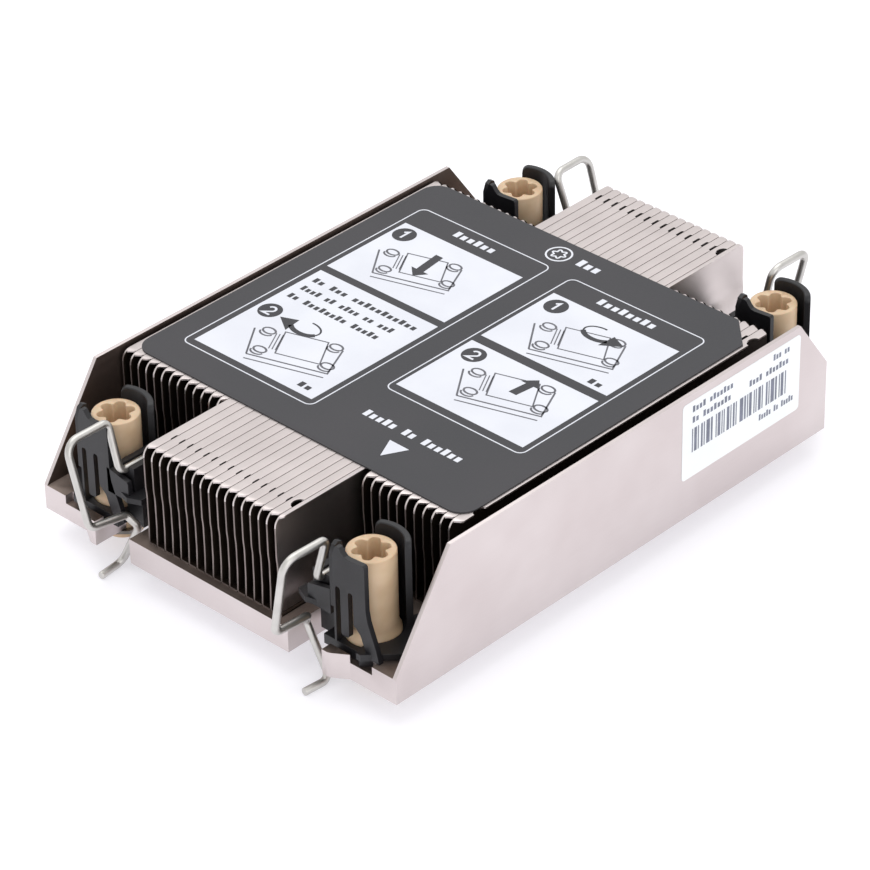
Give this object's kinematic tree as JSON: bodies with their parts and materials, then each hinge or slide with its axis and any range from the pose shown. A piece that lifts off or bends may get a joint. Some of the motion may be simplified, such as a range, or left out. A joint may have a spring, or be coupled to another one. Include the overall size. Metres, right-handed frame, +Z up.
{
  "type": "passive server cpu heatsink",
  "caption": "Low passive heatsink: plated carrier with side walls, stacked folded fins, captive drive nuts in moulded clips and swinging anti-tilt wires.",
  "frame": {"origin": "under the middle of the nut pattern, on the underside of the processor pedestal, on which the part rests", "axes": "+Z up out of the board, +Y towards the rear of the server along the fins, +X to the right seen from the front"},
  "size_m": [0.0781, 0.1224, 0.0276],
  "materials": {
    "plated_carrier": "satin nickel plate",
    "plated_fin": "satin nickel plate",
    "nut_polymer": "turned natural polymer",
    "clip_polymer": "moulded, fine grain",
    "spring_wire": "drawn and plated wire",
    "ring_steel": "stamped",
    "printed_foil": "printed satin film",
    "paper_label": "coated paper"
  },
  "bodies": {
    "carrier": {"base_frame": "plated_carrier", "left_fin_01": "plated_fin", "left_fin_02": "plated_fin", "left_fin_03": "plated_fin", "left_fin_04": "plated_fin", "left_fin_05": "plated_fin", "left_fin_06": "plated_fin", "left_fin_07": "plated_fin", "left_fin_08": "plated_fin", "left_fin_09": "plated_fin", "left_fin_10": "plated_fin", "left_fin_11": "plated_fin", "left_fin_12": "plated_fin", "left_fin_13": "plated_fin", "centre_fin_01": "plated_fin", "centre_fin_02": "plated_fin", "centre_fin_03": "plated_fin", "centre_fin_04": "plated_fin", "centre_fin_05": "plated_fin", "centre_fin_06": "plated_fin", "centre_fin_07": "plated_fin", "centre_fin_08": "plated_fin", "centre_fin_09": "plated_fin", "centre_fin_10": "plated_fin", "centre_fin_11": "plated_fin", "centre_fin_12": "plated_fin", "centre_fin_13": "plated_fin", "centre_fin_14": "plated_fin", "centre_fin_15": "plated_fin", "centre_fin_16": "plated_fin", "centre_fin_17": "plated_fin", "right_fin_01": "plated_fin", "right_fin_02": "plated_fin", "right_fin_03": "plated_fin", "right_fin_04": "plated_fin", "right_fin_05": "plated_fin", "right_fin_06": "plated_fin", "right_fin_07": "plated_fin", "right_fin_08": "plated_fin", "right_fin_09": "plated_fin", "right_fin_10": "plated_fin", "right_fin_11": "plated_fin", "clip_front_left": "clip_polymer", "clip_front_right": "clip_polymer", "clip_rear_left": "clip_polymer", "clip_rear_right": "clip_polymer", "top_label": "printed_foil", "side_label": "paper_label"},
    "turning_nut_front_left": {"nut_front_left": "nut_polymer", "retaining_ring_front_left": "ring_steel"},
    "swinging_wire_front_left": {"wire_front_left": "spring_wire"},
    "turning_nut_front_right": {"nut_front_right": "nut_polymer", "retaining_ring_front_right": "ring_steel"},
    "swinging_wire_front_right": {"wire_front_right": "spring_wire"},
    "turning_nut_rear_left": {"nut_rear_left": "nut_polymer", "retaining_ring_rear_left": "ring_steel"},
    "swinging_wire_rear_left": {"wire_rear_left": "spring_wire"},
    "turning_nut_rear_right": {"nut_rear_right": "nut_polymer", "retaining_ring_rear_right": "ring_steel"},
    "swinging_wire_rear_right": {"wire_rear_right": "spring_wire"}
  },
  "joints": [
    {"name": "nut_turn_front_left", "type": "hinge", "parent": "carrier", "child": "turning_nut_front_left", "pos_m": [-0.028, -0.047, 0.0146], "axis": [0, 0, 1], "continuous": true},
    {"name": "wire_swing_front_left", "type": "hinge", "parent": "carrier", "child": "swinging_wire_front_left", "pos_m": [-0.0216, -0.047, 0.0188], "axis": [0, 1, 0], "range_deg": [0, 12]},
    {"name": "nut_turn_front_right", "type": "hinge", "parent": "carrier", "child": "turning_nut_front_right", "pos_m": [0.028, -0.047, 0.0146], "axis": [0, 0, 1], "continuous": true},
    {"name": "wire_swing_front_right", "type": "hinge", "parent": "carrier", "child": "swinging_wire_front_right", "pos_m": [0.0216, -0.047, 0.0188], "axis": [0, -1, 0], "range_deg": [0, 12]},
    {"name": "nut_turn_rear_left", "type": "hinge", "parent": "carrier", "child": "turning_nut_rear_left", "pos_m": [-0.028, 0.047, 0.0146], "axis": [0, 0, 1], "continuous": true},
    {"name": "wire_swing_rear_left", "type": "hinge", "parent": "carrier", "child": "swinging_wire_rear_left", "pos_m": [-0.0216, 0.047, 0.0188], "axis": [0, 1, 0], "range_deg": [0, 12]},
    {"name": "nut_turn_rear_right", "type": "hinge", "parent": "carrier", "child": "turning_nut_rear_right", "pos_m": [0.028, 0.047, 0.0146], "axis": [0, 0, 1], "continuous": true},
    {"name": "wire_swing_rear_right", "type": "hinge", "parent": "carrier", "child": "swinging_wire_rear_right", "pos_m": [0.0216, 0.047, 0.0188], "axis": [0, -1, 0], "range_deg": [0, 12]}
  ]
}
